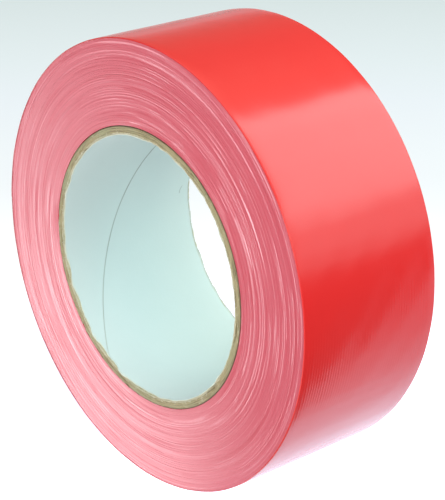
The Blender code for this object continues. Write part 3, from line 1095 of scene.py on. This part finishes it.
class BuildStage(bpy.types.Operator):
    """Lay the pale floor and set the lights and the camera"""
    bl_idname = "tape_roll.build_stage"
    bl_label = "Stage"

    def execute(self, context):
        scene = context.scene
        stage = scene.roll_stage
        material = floor_material(stage)
        height = FLOOR_HEIGHT - 0.00002
        # the table ends beside the roll; past it mirror reflections do not see the floor
        toward = Vector((math.sin(math.radians(50.2)), -math.cos(math.radians(50.2)), 0.0))
        sideways = Vector((-toward.y, toward.x, 0.0))
        edge = toward * 0.0527
        reach = 4.0
        for name, near, far, lit in (("floor_table", -reach, 0.0, True),
                                     ("floor_beyond", 0.0, reach, False)):
            corners = [edge + toward * near - sideways * reach,
                       edge + toward * far - sideways * reach,
                       edge + toward * far + sideways * reach,
                       edge + toward * near + sideways * reach]
            floor = self.sheet(name, [(c.x, c.y, height) for c in corners], material)
            floor.visible_glossy = lit
            floor.visible_diffuse = False
        self.softbox(stage)
        self.table_sheen(stage, height + 0.0001)
        self.lamp("key", (0.66, 0.05, 0.34), 0.35, stage.key, (1.0, 0.94, 0.82))
        self.lamp("fill", (0.16, -0.30, 0.06), 0.16, stage.fill, (1.0, 0.99, 0.98))
        self.room(scene, stage)
        self.camera(scene, stage)
        scene.view_settings.view_transform = 'Standard'
        return {'FINISHED'}

    @staticmethod
    def sheet(name, corners, material):
        """A flat stage surface through four corners."""
        a, b, c, d = corners
        mesh = build_mesh(name, np.array(((a, d), (b, c))), False, False)
        mesh.materials.append(material)
        sheet = link_new(name, mesh)
        return sheet

    @staticmethod
    def glow_panel(name, places, level, colour, strength):
        """A panel that gives off light by its "level", which the camera does not see."""
        material, tree = new_material(name)
        share = tree.add('ShaderNodeAttribute', {'attribute_name': "level"}, None, 2)
        glow = tree.add('ShaderNodeEmission', None,
                        {'Color': colour, 'Strength': share * strength})
        tree.add('ShaderNodeOutputMaterial', None, {'Surface': glow})
        mesh = build_mesh(name, places, False, False)
        set_values(mesh, "level", level)
        mesh.materials.append(material)
        panel = link_new(name, mesh)
        panel.visible_camera = False
        panel.visible_shadow = False
        return panel

    def softbox(self, stage):
        """A bright panel behind the roll over a dimmer one that ends at the horizon."""
        corners = (((0.052, 0.338, 0.506), (0.051, 0.421, 0.476)),
                   ((0.462, 0.344, 0.223), (0.434, 0.427, 0.210)),
                   ((0.512, 0.342, 0.017), (0.481, 0.425, 0.017)))
        # brightness from the top (0) to the join of the panels (1) and the horizon (2)
        steps = (0.0, 0.035, 0.065, 0.070, 0.20, 0.28, 0.38, 0.48, 0.60, 0.75, 0.87, 0.95, 1.03,
                 1.12, 1.28, 1.50, 1.72, 1.88, 2.0)
        levels = (0.20, 0.30, 0.16, 1.04, 1.02, 0.92, 0.90, 0.95, 0.91, 0.90, 0.87, 0.76, 0.50,
                  0.38, 0.38, 0.41, 0.34, 0.22, 0.08)
        share = np.linspace(0.0, 2.0, 241)
        folds = 0.025 * (np.sin(share * 51.0) + np.sin(share * 83.0 + 1.0) + np.sin(share * 137.0))
        level = np.interp(share, steps, levels) * (1.0 + folds)
        level = np.repeat(level[:, None], 2, axis=1)
        places = np.zeros((len(share), 2, 3))
        for row, value in enumerate(share):
            part = min(int(value), 1)
            near, far = (Vector(corners[part][side]).lerp(Vector(corners[part + 1][side]),
                                                          value - part) for side in (0, 1))
            places[row, 0] = near + (near - far) * 1.2
            places[row, 1] = far + (far - near) * 1.6
        self.glow_panel("softbox_panel", places, level, (0.70, 1.0, 1.0, 1.0), stage.softbox)

    def table_sheen(self, stage, height):
        """The bright part of the table left of the roll, for mirror reflections only."""
        x, y = np.meshgrid(np.linspace(-0.60, 0.02, 63), np.linspace(-0.42, -0.02, 41),
                           indexing='ij')

        def step(value, low, high):
            share = np.clip((value - low) / (high - low), 0.0, 1.0)
            return share * share * (3 - 2 * share)

        beside = (y + 0.042 - 0.645 * x) / 1.19
        distance = np.hypot(x, y)
        level = (step(beside - 0.04 * distance, -0.032, 0.028)
                 * (1 - 0.35 * step(distance, 0.10, 0.35)) * (1 - step(distance, 0.40, 0.60)))
        places = np.stack([x, y, np.full(x.shape, height)], axis=-1)
        panel = self.glow_panel("table_sheen", places, level, (0.97, 0.97, 1.0, 1.0),
                                stage.table_sheen)
        panel.visible_diffuse = False

    @staticmethod
    def lamp(name, place, size, power, colour):
        """A round soft light that points at the roll."""
        light = bpy.data.lights.new(name, 'AREA')
        light.shape = 'DISK'
        light.size = size
        light.energy = power
        light.color = colour
        lamp = link_new(name, light)
        lamp.location = place
        lamp.rotation_euler = (-Vector(place)).to_track_quat('-Z', 'Y').to_euler()
        lamp.visible_camera = False

    @staticmethod
    def room(scene, stage):
        """A pale room: brightest overhead, and lit below the floor's level only from the front."""
        world = bpy.data.worlds.new("studio")
        world.use_nodes = True
        world.node_tree.nodes.clear()
        tree = Tree(world.node_tree)
        heading = tree.add('ShaderNodeTexCoord', None, None, 0)
        x, y, z = tree.split(heading)
        above = z.smooth(-0.06, 0.06)
        low = 1.0 - z.smooth(0.05, 0.3)
        overhead = z.smooth(0.6, 0.95)
        front = (x * 0.342 - y * 0.940).smooth(0.5, 0.9)
        facing = (x * 0.5 - y * 0.866).smooth(-0.1, 0.7)
        facing = facing * z.smooth(0.2, 0.7)
        upper = stage.room * (0.38 + 0.5 * low + 1.5 * overhead + 1.0 * facing)
        steep = (-1.0 * z).smooth(0.3, 0.6) * (1.0 - y.smooth(-0.15, 0.15))
        strength = 0.04 + above * upper + (1.0 - above) * (front * 1.15 + steep * 1.1)
        behind = y.smooth(-0.1, 0.4) * z.smooth(0.1, 0.4)
        colour = tree.blend(behind, (0.95, 1.0, 1.0, 1.0), (1.0, 0.93, 0.72, 1.0))
        surface = tree.add('ShaderNodeBackground', None,
                           {'Color': colour, 'Strength': strength})
        tree.add('ShaderNodeOutputWorld', None, {'Surface': surface})
        scene.world = world

    @staticmethod
    def camera(scene, stage):
        """The camera, level and without shift."""
        data = bpy.data.cameras.new("camera")
        data.lens = stage.lens
        data.sensor_width = 36.0
        data.sensor_fit = 'AUTO'
        data.clip_start = 0.01
        data.clip_end = 20.0
        camera = link_new("camera", data)
        place = Vector(stage.camera_place)
        aim = Vector(stage.camera_target) - place
        camera.location = place
        camera.rotation_euler = aim.to_track_quat('-Z', 'Y').to_euler()
        scene.camera = camera


class TapeRollPanel(bpy.types.Panel):
    """Lists the steps that build the roll and the sizes and colours they use"""
    bl_idname = "VIEW3D_PT_tape_roll"
    bl_label = "Tape Roll"
    bl_space_type = 'VIEW_3D'
    bl_region_type = 'UI'
    bl_category = "Tape Roll"

    def draw(self, context):
        layout = self.layout
        for operator in OPERATORS:
            layout.operator(operator.bl_idname)
        for group in (context.scene.roll_sizes, context.scene.roll_colours,
                      context.scene.roll_stage):
            box = layout.box()
            for name in group.__annotations__:
                box.prop(group, name)


OPERATORS = (BuildLiner, BuildBoard, BuildFibres, BuildWindings, BuildLastTurn, BuildFreeEnd,
             BuildStage)
CLASSES = (RollSizes, RollColours, StageSettings) + OPERATORS + (TapeRollPanel,)


def register():
    for item in CLASSES:
        bpy.utils.register_class(item)
    bpy.types.Scene.roll_sizes = bpy.props.PointerProperty(type=RollSizes)
    bpy.types.Scene.roll_colours = bpy.props.PointerProperty(type=RollColours)
    bpy.types.Scene.roll_stage = bpy.props.PointerProperty(type=StageSettings)


def unregister():
    del bpy.types.Scene.roll_stage
    del bpy.types.Scene.roll_colours
    del bpy.types.Scene.roll_sizes
    for item in reversed(CLASSES):
        bpy.utils.unregister_class(item)


def main():
    register()
    bpy.ops.tape_roll.build_liner()
    bpy.ops.tape_roll.build_board()
    bpy.ops.tape_roll.build_fibres()
    bpy.ops.tape_roll.build_windings()
    bpy.ops.tape_roll.build_last_turn()
    bpy.ops.tape_roll.build_free_end()
    bpy.ops.tape_roll.build_stage()


if __name__ == "__main__":
    main()
